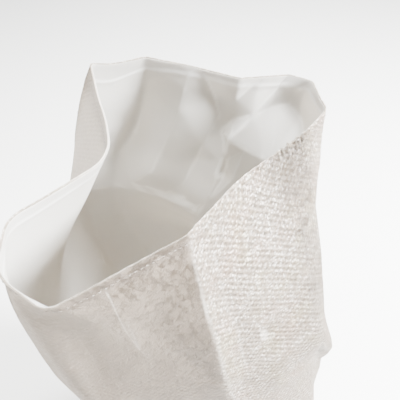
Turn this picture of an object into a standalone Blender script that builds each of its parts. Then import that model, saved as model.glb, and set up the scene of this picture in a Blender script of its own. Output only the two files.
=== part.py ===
"""Empty woven cement sack, standing open on its folded block bottom.

The sack is a tube of woven tape cloth. Its mouth is hemmed inward over a smooth
inner liner and sewn round once. The cloth has buckled into flat facets between
creases that run down from the mouth. Lower down it rounds out, and it ends
square on the block bottom. Metres, +Z up, origin in the middle of the underside.
"""
import math

import bmesh
import bpy
from mathutils import Vector

# Sizes of the sack
SACK_HEIGHT = 0.680       # floor to mouth, as it stands
FLAT_WIDTH = 0.500        # tube laid flat, so the girth is twice this
BOTTOM_WIDTH = 0.140      # short side of the block bottom
BODY_ROUNDNESS = 0.85     # short axis of the body's oval against its long axis
HEM_DEPTH = 0.015         # mouth cloth folded inward and down
STITCH_DEPTH = 0.009      # seam below the mouth
THREAD_RADIUS = 0.0005
CLOTH = 0.0008            # woven wall
LINER = 0.0004            # inner liner
PLY_GAP = 0.0003          # between plies, and between thread and cloth
LINER_DROP = 0.0020       # liner's edge below the mouth, under the fold

# The block bottom's place and turn under the mouth, and the body's
MOUTH_TURN = math.radians(45.0)
MOUTH_SHIFT = (-0.020, 0.000)
BODY_SHIFT = (0.024, 0.018)

# Heights, as depth below the mouth over the sack's height
CREASES_END = 0.28        # creases begin to ease into the body
BODY_FULL = 0.70
BLOCK_START = 0.58        # body begins to square up
BLOCK_FULL = 0.955

# The creases were set out on a sack of this height and girth
DRAWN_HEIGHT = 0.680
DRAWN_GIRTH = 1.000
MM = 0.001

# Each crease: how far round the mouth it starts, how softly it turns the cloth,
# and its way down as depth below the mouth and x, y. All in millimetres.
CREASES = {
    "back_corner": (0, 4, [(0, -121, 135), (50, -145, 127), (110, -160, 122), (300, -164, 122)]),
    "back_ridge": (61, 6, [(0, -62, 150), (60, -73, 150), (100, -92, 146), (132, -110, 140),
                           (180, -119, 124), (260, -120, 142)]),
    "back_panel": (111, 16, [(0, -14, 135), (50, -26, 127), (110, -50, 114), (152, -66, 101),
                             (172, -70, 104), (260, -72, 135)]),
    "back_valley": (174, 6, [(0, 43, 108), (28, 39, 105), (66, 34, 95), (103, 26, 85),
                             (150, 6, 68), (175, 0, 66), (260, -8, 112)]),
    "dent_left": (228, 8, [(0, 97, 114), (18, 84, 112), (70, 80, 74), (120, 66, 56),
                           (200, 52, 52), (280, 42, 100)]),
    "dent_right": (255, 8, [(0, 120, 100), (30, 112, 98), (70, 106, 72), (120, 90, 50),
                            (200, 78, 42), (280, 68, 85)]),
    "right_corner": (305, 10, [(0, 126, 50), (40, 128, 48), (110, 127, 12), (200, 124, -2),
                               (300, 120, 40)]),
    "right_side": (350, 10, [(0, 98, 14), (50, 112, 2), (110, 126, -28), (200, 140, -44),
                             (300, 150, 0)]),
    "front_right": (394, 12, [(0, 67, -17), (50, 86, -38), (120, 110, -66), (200, 135, -88),
                              (300, 164, -52)]),
    "front_panel": (447, 16, [(0, 30, -54), (60, 44, -82), (120, 62, -102), (200, 80, -120),
                              (300, 114, -108)]),
    "front_ridge": (508, 4, [(0, -10, -113), (60, 2, -127), (120, 14, -141), (200, 28, -150),
                             (300, 55, -146)]),
    "front_left": (601, 8, [(0, -80, -164), (25, -68, -157), (100, -54, -150), (200, -50, -160),
                            (300, -30, -162)]),
    "lip_front": (664, 18, [(0, -140, -148), (60, -128, -160), (130, -115, -165),
                            (220, -100, -162), (300, -85, -150)]),
    "lip_left": (730, 18, [(0, -150, -95), (60, -168, -112), (130, -160, -125),
                           (220, -148, -125), (300, -130, -112)]),
    "fold_foot": (806, 14, [(0, -103, -48), (50, -124, -52), (110, -150, -58), (200, -170, -58),
                            (300, -165, -50)]),
    "fold": (853, 10, [(0, -82, -7), (50, -106, -4), (100, -132, 2), (200, -166, -12),
                       (300, -172, -8)]),
    "left_panel": (930, 16, [(0, -102, 67), (50, -128, 66), (100, -150, 66), (200, -178, 60),
                             (300, -178, 58)]),
}

# Where the wall is drawn, as depth below the mouth over the sack's height
LEVELS = (0.088, 0.162, 0.228, 0.272, 0.353, 0.47, 0.60, 0.73, 0.86, 0.955, 1.0)
CORNER_EASE = 0.004       # cloth either side of a block bottom's corner
WIDEST_FACET = 0.046      # a flat wider than this gets a line down its middle
CLOSEST_LINES = 0.003


def smooth_step(value):
    """Ease from 0 to 1 while the value goes from 0 to 1."""
    value = max(0.0, min(1.0, value))
    return value * value * (3.0 - 2.0 * value)


def girth():
    return 2.0 * FLAT_WIDTH


def turned(x, y, angle):
    """A plan point turned about the origin."""
    cos, sin = math.cos(angle), math.sin(angle)
    return x * cos - y * sin, x * sin + y * cos


def crease_at(path, depth):
    """Plan point of a crease at a depth below the mouth, both in drawn millimetres."""
    if depth >= path[-1][0]:
        return path[-1][1], path[-1][2]
    last = len(path) - 1

    def slope(knot, axis):
        before, after = path[max(knot - 1, 0)], path[min(knot + 1, last)]
        here = path[knot]
        sides = [(b[axis] - a[axis]) / (b[0] - a[0])
                 for a, b in ((before, here), (here, after)) if b[0] > a[0]]
        return sum(sides) / len(sides)

    knot = next(i for i in range(last) if depth <= path[i + 1][0])
    span = path[knot + 1][0] - path[knot][0]
    t = max(0.0, (depth - path[knot][0]) / span)
    point = []
    for axis in (1, 2):
        start, end = path[knot][axis], path[knot + 1][axis]
        point.append((2 * t ** 3 - 3 * t ** 2 + 1) * start
                     + (t ** 3 - 2 * t ** 2 + t) * span * slope(knot, axis)
                     + (3 * t ** 2 - 2 * t ** 3) * end
                     + (t ** 3 - t ** 2) * span * slope(knot + 1, axis))
    return tuple(point)


class Mouth:
    """Facets between the creases at one depth."""

    def __init__(self, depth):
        drawn_depth = depth / SACK_HEIGHT * DRAWN_HEIGHT / MM
        grow = girth() / DRAWN_GIRTH * MM
        self.keys = []
        for start, ease, path in CREASES.values():
            x, y = crease_at(path, drawn_depth)
            x, y = turned(x * grow - MOUTH_SHIFT[0], y * grow - MOUTH_SHIFT[1], MOUTH_TURN)
            self.keys.append((start * grow, ease * grow, (x, y)))

    def on_facets(self, along):
        """Point on the straight facets, before the creases are eased."""
        along %= girth()
        for index, (start, _, here) in enumerate(self.keys):
            wrap = index == len(self.keys) - 1
            next_start, _, there = self.keys[0 if wrap else index + 1]
            next_start += girth() if wrap else 0.0
            if start <= along <= next_start:
                t = (along - start) / (next_start - start)
                return tuple(a + (b - a) * t for a, b in zip(here, there))
        return self.keys[0][2]

    def at(self, along):
        """Point of the cloth, with each crease eased over its own width."""
        point = self.on_facets(along)
        for start, ease, corner in self.keys:
            offset = (along - start + girth() / 2) % girth() - girth() / 2
            if abs(offset) < ease:
                t = (offset + ease) / (2 * ease)
                before, after = self.on_facets(start - ease), self.on_facets(start + ease)
                point = tuple((1 - t) ** 2 * a + 2 * t * (1 - t) * c + t * t * b
                              for a, c, b in zip(before, corner, after))
        return point


class Body:
    """Oval of the standing sack between its mouth and its block bottom."""

    STEPS = 360

    def __init__(self):
        self.points = []
        for step in range(self.STEPS + 1):
            angle = 2 * math.pi * step / self.STEPS
            self.points.append((-math.cos(angle), BODY_ROUNDNESS * math.sin(angle)))
        self.lengths = [0.0]
        for a, b in zip(self.points, self.points[1:]):
            self.lengths.append(self.lengths[-1] + math.dist(a, b))
        self.scale = girth() / self.lengths[-1]

    def at(self, along):
        """Plan point at a distance round the cloth from the back corner."""
        target = (along % girth()) / self.scale
        step = next(i for i in range(self.STEPS) if target <= self.lengths[i + 1] + 1e-9)
        t = (target - self.lengths[step]) / (self.lengths[step + 1] - self.lengths[step])
        (x0, y0), (x1, y1) = self.points[step], self.points[step + 1]
        return ((x0 + (x1 - x0) * t) * self.scale + BODY_SHIFT[0],
                (y0 + (y1 - y0) * t) * self.scale + BODY_SHIFT[1])


def block_corners():
    """Distances round the cloth of the block bottom's four corners."""
    half_end, side = BOTTOM_WIDTH / 2, FLAT_WIDTH - BOTTOM_WIDTH
    return (half_end, half_end + side, 3 * half_end + side, 3 * half_end + 2 * side)


def block_at(along):
    """Plan point on the block bottom's rectangle."""
    along %= girth()
    half_x, half_y = (FLAT_WIDTH - BOTTOM_WIDTH) / 2, BOTTOM_WIDTH / 2
    first, second, third, fourth = block_corners()
    if along < first:
        return -half_x, along
    if along < second:
        return along - first - half_x, half_y
    if along < third:
        return half_x, half_y - (along - second)
    if along < fourth:
        return half_x - (along - third), -half_y
    return -half_x, along - fourth - half_y


def lines_round():
    """Distances round the cloth of the lines that the wall is drawn with."""
    marks = []
    for start, ease, _ in CREASES.values():
        grow = girth() / DRAWN_GIRTH * MM
        marks += [(start + side * ease) * grow for side in (-1, 0, 1)]
    for corner in block_corners():
        marks += [corner - CORNER_EASE, corner, corner + CORNER_EASE]
    marks = sorted(mark % girth() for mark in marks)
    kept = [marks[0]]
    for mark in marks[1:]:
        if mark - kept[-1] >= CLOSEST_LINES:
            kept.append(mark)
    if kept[0] + girth() - kept[-1] < CLOSEST_LINES:
        kept.pop()
    lines = []
    for mark, after in zip(kept, kept[1:] + [kept[0] + girth()]):
        lines.append(mark)
        if after - mark > WIDEST_FACET:
            lines.append((mark + after) / 2)
    return lines


def depths_down():
    """Depths of the wall's levels below the mouth."""
    return [0.0, LINER_DROP, STITCH_DEPTH, HEM_DEPTH] + [level * SACK_HEIGHT for level in LEVELS]


def wall_ring(depth, lines, body):
    """Points of the cloth's outer face round the sack at one depth."""
    mouth = Mouth(depth)
    share = depth / SACK_HEIGHT
    to_body = smooth_step((share - CREASES_END) / (BODY_FULL - CREASES_END))
    to_block = smooth_step((share - BLOCK_START) / (BLOCK_FULL - BLOCK_START))
    ring = []
    for along in lines:
        point = Vector(mouth.at(along)).lerp(Vector(body.at(along)), to_body)
        point = point.lerp(Vector(block_at(along)), to_block)
        ring.append(Vector((point.x, point.y, SACK_HEIGHT - depth)))
    return ring


def draw_wall():
    """The cloth's outer face from mouth to underside, triangulated and open on top.

    Returns the mesh and its rings of vertices, mouth first.
    """
    sheet = bmesh.new()
    lines, body = lines_round(), Body()
    rings = [[sheet.verts.new(point) for point in wall_ring(depth, lines, body)]
             for depth in depths_down()]
    for upper, lower in zip(rings, rings[1:]):
        bridge(sheet, upper, lower)
    sheet.faces.new(rings[-1])
    bmesh.ops.recalc_face_normals(sheet, faces=sheet.faces)
    bmesh.ops.triangulate(sheet, faces=sheet.faces, quad_method="SHORT_EDGE")
    sheet.normal_update()
    return sheet, rings


def bridge(sheet, upper, lower):
    """Quads between two rings with as many vertices."""
    for index in range(len(upper)):
        after = (index + 1) % len(upper)
        sheet.faces.new((upper[index], upper[after], lower[after], lower[index]))


def inward(vertex, distance):
    """A vertex moved in from the outer face by an even distance."""
    return vertex.co - vertex.normal * distance * vertex.calc_shell_factor()


def material(name, colour, roughness):
    """Plain finish of one ply."""
    finish = bpy.data.materials.new(name)
    finish.use_nodes = True
    shader = finish.node_tree.nodes["Principled BSDF"]
    shader.inputs["Base Color"].default_value = (*colour, 1.0)
    shader.inputs["Roughness"].default_value = roughness
    shader.inputs["Metallic"].default_value = 0.0
    return finish


def add_ply(name, sheet, thickness, finish, collection):
    """An object from an open sheet, thickened inward from its outer face."""
    mesh = bpy.data.meshes.new(name)
    sheet.to_mesh(mesh)
    sheet.free()
    mesh.materials.append(finish)
    ply = bpy.data.objects.new(name, mesh)
    collection.objects.link(ply)
    shell = ply.modifiers.new("thickness", "SOLIDIFY")
    shell.thickness = thickness
    shell.offset = -1.0
    shell.use_even_offset = True
    return ply


def build_woven_sack(collection):
    """The woven tube, its bottom, and the hem folded in over the liner's edge."""
    sheet, rings = draw_wall()
    fold = 2 * CLOTH + LINER + 2 * PLY_GAP
    folded = [[inward(vertex, fold) for vertex in ring] for ring in rings[:4]]
    hem = [[sheet.verts.new(point) for point in ring] for ring in folded]
    for vertex, mouth_vertex in zip(hem[0], rings[0]):
        vertex.co.z = mouth_vertex.co.z
    bridge(sheet, hem[0], rings[0])
    for upper, lower in zip(hem, hem[1:]):
        bridge(sheet, lower, upper)
    bmesh.ops.triangulate(sheet, faces=[f for f in sheet.faces if len(f.verts) > 3],
                          quad_method="SHORT_EDGE")
    finish = material("woven_polypropylene", (0.62, 0.59, 0.54), 0.55)
    return add_ply("woven_sack", sheet, CLOTH, finish, collection)


def build_inner_liner(collection):
    """The smooth liner, one gap inside the cloth all over, its edge under the hem."""
    sheet, rings = draw_wall()
    moved = {vertex: inward(vertex, CLOTH + PLY_GAP) for vertex in sheet.verts}
    for vertex, point in moved.items():
        vertex.co = point
    bmesh.ops.delete(sheet, geom=rings[0], context="VERTS")
    finish = material("liner_film", (0.58, 0.57, 0.54), 0.35)
    return add_ply("inner_liner", sheet, LINER, finish, collection)


def build_hem_thread(collection):
    """The sewing thread, one closed run round the outside of the hem."""
    sheet, rings = draw_wall()
    route = [inward(vertex, -PLY_GAP - THREAD_RADIUS) for vertex in rings[2]]
    sheet.free()
    curve = bpy.data.curves.new("hem_thread", "CURVE")
    curve.dimensions = "3D"
    curve.bevel_depth = THREAD_RADIUS
    curve.bevel_resolution = 0
    run = curve.splines.new("POLY")
    run.points.add(len(route) - 1)
    for point, place in zip(run.points, route):
        point.co = (*place, 1.0)
    run.use_cyclic_u = True
    curve.materials.append(material("sewing_thread", (0.80, 0.79, 0.76), 0.6))
    thread = bpy.data.objects.new("hem_thread", curve)
    collection.objects.link(thread)
    return thread


def main():
    """Clear the scene and build the sack's three pieces."""
    for old in list(bpy.data.objects):
        bpy.data.objects.remove(old, do_unlink=True)
    collection = bpy.data.collections.new("cement_sack")
    bpy.context.scene.collection.children.link(collection)
    build_woven_sack(collection)
    build_inner_liner(collection)
    build_hem_thread(collection)


main()
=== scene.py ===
"""Looks of an empty woven cement sack standing open on its folded block bottom.

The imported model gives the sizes. The woven cloth, the liner and the stitching are
modelled again here as fine shells, and each stands in place of its plain solid.
"""
import logging
import math
from dataclasses import dataclass, field
from enum import Enum
from functools import cached_property, reduce

import bpy
import numpy as np
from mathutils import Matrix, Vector
from mathutils.geometry import delaunay_2d_cdt


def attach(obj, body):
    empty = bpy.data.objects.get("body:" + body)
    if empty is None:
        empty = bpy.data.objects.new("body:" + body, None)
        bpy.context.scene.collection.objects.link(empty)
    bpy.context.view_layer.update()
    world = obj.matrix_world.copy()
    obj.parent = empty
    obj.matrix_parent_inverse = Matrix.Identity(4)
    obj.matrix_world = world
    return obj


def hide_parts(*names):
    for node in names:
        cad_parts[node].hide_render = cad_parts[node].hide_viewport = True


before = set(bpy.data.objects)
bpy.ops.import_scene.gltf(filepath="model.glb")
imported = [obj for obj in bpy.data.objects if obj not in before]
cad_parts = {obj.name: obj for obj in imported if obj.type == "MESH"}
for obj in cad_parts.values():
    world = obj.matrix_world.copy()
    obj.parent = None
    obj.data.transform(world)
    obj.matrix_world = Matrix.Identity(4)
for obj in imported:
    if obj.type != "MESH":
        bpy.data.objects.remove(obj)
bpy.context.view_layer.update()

MM = 0.001
HEIGHT = 0.680
GIRTH = 1.000
log = logging.getLogger("cement_sack")

Array = np.ndarray
Node = bpy.types.Node
Socket = bpy.types.NodeSocket
Sockets = bpy.types.bpy_prop_collection
Tree = bpy.types.NodeTree
Pair = tuple[float, float]
Triple = tuple[float, float, float]
Span = tuple[Pair, Pair]


def smooth_step(value: Array) -> Array:
    """Ease from 0 to 1 while the value goes from 0 to 1."""
    value = np.clip(value, 0.0, 1.0)
    return value * value * (3.0 - 2.0 * value)


def bell(value: Array, width: float) -> Array:
    """A smooth bump of height 1 and the given half width."""
    return np.exp(-(value / width) ** 2)


def lap(along: Array, place: float) -> Array:
    """Signed distance from a place on the mouth, the shorter way round."""
    return np.mod(along - place + GIRTH / 2, GIRTH) - GIRTH / 2


def between_knots(knots: tuple[Pair, ...], along: Array) -> Array:
    """Value in metres between knots round the mouth, each a place and a value in mm."""
    places, values = np.array([*knots, (GIRTH / MM, knots[0][1])]).T * MM
    return np.interp(np.mod(along, GIRTH), places, values)


def ripple(along: Array, waves: tuple[Triple, ...]) -> Array:
    """Waves round the mouth, each given as its height, its number and its start."""
    return sum(tall * np.sin(along * 2 * math.pi * count + start) for tall, count, start in waves)


class Ply(Enum):
    """The sack's pieces: each one's name, the solid it stands for and its finish slot."""

    CLOTH = ("woven_cloth", "woven_sack", "woven_cloth")
    LINER = ("liner_ply", "inner_liner", "liner_film")
    STITCHING = ("hem_stitching", "hem_thread", "thread")

    def __init__(self, piece: str, solid: str, slot: str) -> None:
        """Give each part of the value its own name."""
        self.piece, self.solid, self.slot = piece, solid, slot


@dataclass
class SackShape:
    """The outer face of the cloth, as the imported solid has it.

    A point of the cloth is named by how far round the mouth it lies and how deep
    below the mouth, both measured along the cloth. A crease is its place round the
    mouth, the width over which it is eased, and its way down as depth, x and y, all
    in millimetres.
    """

    height: float = HEIGHT
    girth: float = GIRTH
    bottom_width: float = 0.140
    roundness: float = 0.85
    oval_points: int = 361
    mouth_turn: float = math.radians(45.0)
    mouth_shift: Pair = (-0.020, 0.000)
    mouth_ends: float = 0.3
    body_shift: Pair = (0.024, 0.018)
    creases_end: float = 0.28
    body_full: float = 0.70
    block_start: float = 0.58
    block_full: float = 0.955
    creases: dict[str, tuple[float, float, list[Triple]]] = field(default_factory=lambda: {
        "back_corner": (0, 4, [
            (0, -121, 135), (50, -145, 127), (110, -160, 122), (300, -164, 122)]),
        "back_ridge": (61, 5, [
            (0, -62, 150), (60, -70, 150), (100, -85, 146), (132, -104, 140), (180, -118, 124),
            (260, -120, 142)]),
        "back_panel": (111, 16, [
            (0, -14, 135), (50, -26, 127), (110, -50, 114), (152, -66, 101), (172, -70, 104),
            (260, -72, 135)]),
        "back_valley": (174, 3, [
            (0, 43, 108), (28, 39, 105), (66, 34, 95), (103, 26, 85), (150, 6, 68), (175, 0, 66),
            (260, -8, 112)]),
        "dent_left": (228, 3, [
            (0, 97, 114), (18, 84, 112), (70, 80, 74), (120, 66, 56), (200, 52, 52),
            (280, 42, 100)]),
        "dent_right": (255, 5, [
            (0, 120, 100), (30, 112, 98), (70, 106, 72), (120, 90, 50), (200, 78, 42),
            (280, 68, 85)]),
        "right_corner": (305, 10, [
            (0, 126, 50), (40, 128, 48), (110, 127, 12), (200, 124, -2), (300, 120, 40)]),
        "right_side": (350, 10, [
            (0, 98, 14), (50, 112, 2), (110, 126, -28), (200, 140, -44), (300, 150, 0)]),
        "front_right": (394, 12, [
            (0, 67, -17), (50, 86, -38), (120, 110, -66), (200, 135, -88), (300, 164, -52)]),
        "front_panel": (447, 16, [
            (0, 30, -54), (60, 44, -82), (120, 62, -102), (200, 80, -120), (300, 114, -108)]),
        "front_ridge": (508, 4, [
            (0, -10, -113), (60, 2, -127), (120, 14, -141), (200, 28, -150), (300, 55, -146)]),
        "front_left": (622, 10, [
            (0, -103, -180.7), (25, -87, -170), (100, -72, -158), (200, -70, -163),
            (300, -50, -166)]),
        "lip_front": (668, 16, [
            (0, -143, -150), (60, -131, -161), (130, -118, -165), (220, -100, -162),
            (300, -85, -150)]),
        "lip_left": (730, 18, [
            (0, -150, -95), (60, -168, -112), (130, -160, -125), (220, -148, -125),
            (300, -130, -112)]),
        "fold_foot": (806, 14, [
            (0, -103, -48), (50, -124, -52), (110, -150, -58), (200, -170, -58),
            (300, -165, -50)]),
        "fold_low": (829, 10, [
            (0, -86.5, -31), (50, -110, -29), (110, -139, -28), (200, -169, -35),
            (300, -169, -29)]),
        "fold": (853, 11, [
            (0, -81.5, -8), (50, -105, -4), (100, -131, 2), (200, -166, -12), (300, -172, -8)]),
        "fold_bow": (891, 18, [
            (0, -89.4, 30), (50, -115, 31), (100, -139.5, 34), (200, -172, 24), (300, -175, 25)]),
        "left_panel": (930, 16, [
            (0, -102, 67), (50, -128, 66), (100, -150, 66), (200, -178, 60), (300, -178, 58)]),
    })

    @staticmethod
    def crease_at(path: list[Triple], depth: float) -> tuple[float, ...]:
        """Plan point of a crease.

        Args:
            path: the crease's way down, as depth, x and y in millimetres.
            depth: depth below the mouth in millimetres.

        Returns:
            The x and y of the crease there.
        """
        if depth >= path[-1][0]:
            return path[-1][1:]

        def slope(knot: int, axis: int) -> float:
            """Mean slope of the crease at one of its knots."""
            knots = path[max(knot - 1, 0):knot + 2]
            return np.mean([(b[axis] - a[axis]) / (b[0] - a[0]) for a, b in zip(knots, knots[1:])])

        knot = next(i for i, after in enumerate(path[1:]) if depth <= after[0])
        span = path[knot + 1][0] - path[knot][0]
        t = max(0.0, (depth - path[knot][0]) / span)
        return tuple((2 * t ** 3 - 3 * t ** 2 + 1) * path[knot][axis]
                     + (t ** 3 - 2 * t ** 2 + t) * span * slope(knot, axis)
                     + (3 * t ** 2 - 2 * t ** 3) * path[knot + 1][axis]
                     + (t ** 3 - t ** 2) * span * slope(knot + 1, axis) for axis in (1, 2))

    def to_frame(self, x: Array, y: Array) -> tuple[Array, Array]:
        """Turn plan points from the mouth's own layout into the model's frame.

        Args:
            x: distances to the right, as seen from the front lip.
            y: distances away from the front lip.

        Returns:
            The x and y in the model's frame.
        """
        x, y = x - self.mouth_shift[0], y - self.mouth_shift[1]
        cos, sin = math.cos(self.mouth_turn), math.sin(self.mouth_turn)
        return x * cos - y * sin, x * sin + y * cos

    def mouth_row(self, along: Array, depth: float) -> Array:
        """Facets between the creases, each crease eased over its own width.

        Args:
            along: distances round the cloth, in metres.
            depth: depth below the mouth, in metres.

        Returns:
            One x, y row for each distance.
        """
        starts, eases, paths = zip(*self.creases.values())
        starts, eases = np.array(starts) * MM, np.array(eases) * MM
        corners = np.array([self.crease_at(path, depth / MM) for path in paths]) * MM
        marks = np.append(starts, self.girth)
        ring = np.vstack([corners, corners[:1]])

        def facets(where: Array) -> Array:
            """Points on the straight facets."""
            where = np.mod(where, self.girth)
            return np.stack([np.interp(where, marks, ring[:, axis]) for axis in (0, 1)], -1)

        points = facets(along)
        for start, ease, corner in zip(starts, eases, corners):
            offset = lap(along, start)
            near = np.abs(offset) < ease
            t = ((offset[near] + ease) / (2 * ease))[:, None]
            before, after = facets(np.array([start - ease])), facets(np.array([start + ease]))
            points[near] = (1 - t) ** 2 * before + 2 * t * (1 - t) * corner + t * t * after
        return np.stack(self.to_frame(points[:, 0], points[:, 1]), -1)

    def body_row(self, along: Array) -> Array:
        """Oval of the standing sack between its mouth and its block bottom.

        Args:
            along: distances round the cloth.

        Returns:
            One x, y row for each distance.
        """
        angles = np.linspace(0.0, 2 * math.pi, self.oval_points)
        oval = np.stack([-np.cos(angles), self.roundness * np.sin(angles)], -1)
        lengths = np.concatenate([[0.0], np.cumsum(np.linalg.norm(np.diff(oval, axis=0), axis=1))])
        scale = self.girth / lengths[-1]
        where = np.mod(along, self.girth) / scale
        return np.stack([np.interp(where, lengths, oval[:, axis]) * scale + self.body_shift[axis]
                         for axis in (0, 1)], -1)

    def block_row(self, along: Array, shrink: float = 0.0) -> Array:
        """Rectangle of the block bottom.

        Args:
            along: distances round the cloth.
            shrink: how far the rectangle is drawn in from its edges.

        Returns:
            One x, y row for each distance.
        """
        half_x, half_y = (self.girth / 2 - self.bottom_width) / 2, self.bottom_width / 2
        marks = np.cumsum([0.0, half_y, 2 * half_x, 2 * half_y, 2 * half_x, half_y])
        corners = (half_x * np.array([-1, -1, 1, 1, -1, -1]), half_y * np.array([0, 1, 1, -1, -1, 0]))
        where = np.mod(along, self.girth)
        return np.stack([np.interp(where, marks, np.sign(side) * np.maximum(np.abs(side) - shrink, 0.0))
                         for side in corners], -1)

    def wall(self, along: Array, depths: Array) -> Array:
        """The outer face on a grid.

        Args:
            along: distances round the cloth, one for each column.
            depths: depths below the mouth, one for each row.

        Returns:
            Points as rows, columns, xyz.
        """
        rows = []
        body, block = self.body_row(along), self.block_row(along)
        for depth in depths:
            share = depth / self.height
            to_body = smooth_step((share - self.creases_end) / (self.body_full - self.creases_end))
            to_block = smooth_step((share - self.block_start)
                                   / (self.block_full - self.block_start))
            plan = self.mouth_row(along, min(depth, self.mouth_ends))
            plan = plan + (body - plan) * to_body
            plan = plan + (block - plan) * to_block
            rows.append(np.column_stack([plan, np.full(len(along), self.height - depth)]))
        return np.array(rows)


def outward_normals(points: Array) -> Array:
    """Unit normals of a grid that closes on itself from last column to first.

    Args:
        points: the grid as rows, columns, xyz.

    Returns:
        The normals in the same layout.
    """
    across = np.roll(points, -1, axis=1) - np.roll(points, 1, axis=1)
    normals = np.cross(across, np.gradient(points, axis=0))
    normals /= np.linalg.norm(normals, axis=2, keepdims=True)
    outward = points - points.mean(axis=1, keepdims=True)
    return -normals if (normals * outward).sum() < 0.0 else normals


@dataclass
class FoldNet:
    """Facets of cloth that has been folded flat and opened again.

    Each crease is a chain of points, given as distance round the mouth, depth below
    it and push out of the wall. Between the creases the cloth lies in flat facets.
    The rest of the sack gets creases from a seeded net. It leaves out the stretch that
    is shaped by the listed chains, given as its first and last place and its depth, and the bottom.
    Its pushes grow from the depth and over the distance that rougher gives. A straight
    edge is a first and a last place and a depth. All sizes are millimetres.
    """

    seed: int = 11
    girth: int = round(GIRTH / MM)
    deep: int = round(HEIGHT / MM)
    margin: int = 40
    snap: float = 1e-3
    least_area: float = 1e-6
    slack: float = 1e-9
    soften: int = 2
    # Crease sharpness sets the stress whitening, which also paints highlights on the creases.
    wear_and_highlight_blur: int = 8
    wear_and_highlight_at: float = 0.26
    spacing: float = 74.0
    drawn_girth: float = 1014.0
    row_share: float = 0.87
    net_rows: Pair = (70.0, 40.0)
    jitter: float = 20.0
    calm: float = 1.1
    rough: float = 7.0
    rougher: Pair = (150.0, 260.0)
    shaped: Triple = (-40.0, 320.0, 215.0)
    plain_below: float = 560.0
    edge_step: int = 25
    straight_edge: tuple[tuple[int, int, float], ...] = (
        (200, 290, 1.5), (100, 300, 5.0), (0, 1000, 12.0))
    foot_rows: Pair = (-30.0, 4.0)
    chains: dict[str, list[Triple]] = field(default_factory=lambda: {
        "back_corner": [(2, 20, 0), (2, 60, -3), (4, 110, -4), (6, 150, -2)],
        "back_ridge": [
            (61.5, 18, 0), (61.5, 40, 0.6), (62, 62, 2), (63, 84, 5), (63, 100, 7), (60, 130, 7),
            (52, 156, 5)],
        "panel_line": [
            (117, 9, -2), (116, 27, -5), (117, 49, -7), (114, 84, -6), (112, 104, -4),
            (110, 132, -2)],
        "wedge": [
            (133, 7, 2), (140, 16, 3.5), (149, 30, 6), (158, 49, 5.5), (165, 63, 2.5),
            (171, 75, -2)],
        "mid_rise": [(150, 84, 0), (148, 104, 2), (146, 132, 3)],
        "back_valley": [
            (176, 8, -0.5), (175, 28, 1.5), (176, 48, 1), (176, 67, -8), (175.5, 90, -5),
            (174, 97, -6), (174, 112, -6), (176, 122, -5), (175.5, 148, -3)],
        "glint": [(182, 92, -4), (180.5, 98, -1.5), (180.5, 110, -1.5), (183, 118, -4)],
        "dent_slope": [(227, 16, -3.5), (202, 41, -7), (178, 66, -10)],
        "dent_lip": [(178, 69, -11), (200, 74, -14), (224, 78, -16), (256, 82, -13), (290, 84, -7)],
        "dent_edge": [(228, 17.5, -3.2), (243, 30, 1), (257, 41, 2.5), (276, 56, 1), (292, 68, -2)],
        "dent_hollow": [(258, 10, 0), (272, 24, 0), (288, 40, 0), (304, 54, 0)],
        "under_dent": [(196, 112, -8), (224, 118, -7), (262, 122, -5)],
        "fold_top": [
            (-20, 175, 1.5), (25, 172, 3), (50, 169, 4), (85, 164, 5), (107, 160, 5.5),
            (132, 156, 5.5), (150, 155, 4), (166, 160, 1)],
        "fold_lip": [
            (-20, 182, 0.5), (25, 179, 1), (50, 176, 1.8), (85, 171, 3), (107, 167, 2.5),
            (132, 164, 1), (150, 164, -1), (170, 169, -2.5), (186, 176, -2)],
        "under_fold": [
            (-20, 205, 3), (25, 203, 4), (60, 200, 5), (100, 196, 6), (140, 193, 6),
            (176, 200, 4)],
        "front_ridge": [
            (508, 10, 1.5), (510, 40, 3.5), (510, 60, 4), (509, 84, 4), (507, 121, 4),
            (505, 180, 3), (504, 230, 1)],
        "beside_ridge": [
            (484, 12, -0.5), (484, 40, -2), (484, 84, -2.5), (482, 121, -2.5), (480, 180, -2),
            (480, 230, -1)],
        "left_ridge": [
            (588.5, 12, 1.0), (590, 41, 1.8), (592, 71, 1.8), (593.5, 104, 1.5), (594, 150, 0.5),
            (594, 200, 0)],
        "lip_slope": [(640, 60, -3), (640, 110, -4), (640, 160, -3)],
        "left_hollow": [(552, 22, 0.2), (556, 60, 0.2), (558, 110, 0), (560, 160, 0)],
        "low_crease": [
            (456, 138, 0), (453, 148, -2.6), (446, 160, -3.2), (439, 174, -2.6), (435, 184, 0)],
        "corner_ridge": [(366, 190, 1), (380, 232, 5), (396, 290, 7)],
        "corner_valley": [(394, 205, -1), (406, 246, -5), (418, 300, -6)],
        "half_fold": [
            (0, 352, 6), (90, 345, -3), (180, 357, 5), (262, 347, -4), (340, 358, 5),
            (430, 346, -4), (500, 352, 6), (600, 344, -3), (690, 358, 5), (770, 348, -4),
            (850, 357, 5), (930, 346, -3), (1000, 352, 6)],
        "low_fold": [
            (0, 528, 3), (120, 519, -3), (230, 531, 3), (345, 520, -3), (500, 527, 3),
            (610, 518, -3), (735, 530, 3), (870, 521, -3), (1000, 528, 3)],
        "near_edge": [(4, 240, 2), (0, 300, 6), (0, 352, 6), (-2, 420, 7), (0, 528, 3)],
        "far_edge": [(500, 280, 2), (500, 352, 6), (502, 430, 7), (500, 527, 3)],
        "near_gusset": [(66, 640, 0), (38, 595, 3), (0, 528, 3), (-38, 595, 3), (-66, 640, 0)],
        "far_gusset": [(434, 640, 0), (462, 595, 3), (500, 527, 3), (538, 595, 3), (566, 640, 0)],
        "near_tuck": [(0, 552, -4), (0, 600, -5), (0, 640, 0)],
        "far_tuck": [(500, 552, -4), (500, 600, -5), (500, 640, 0)],
    })

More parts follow.
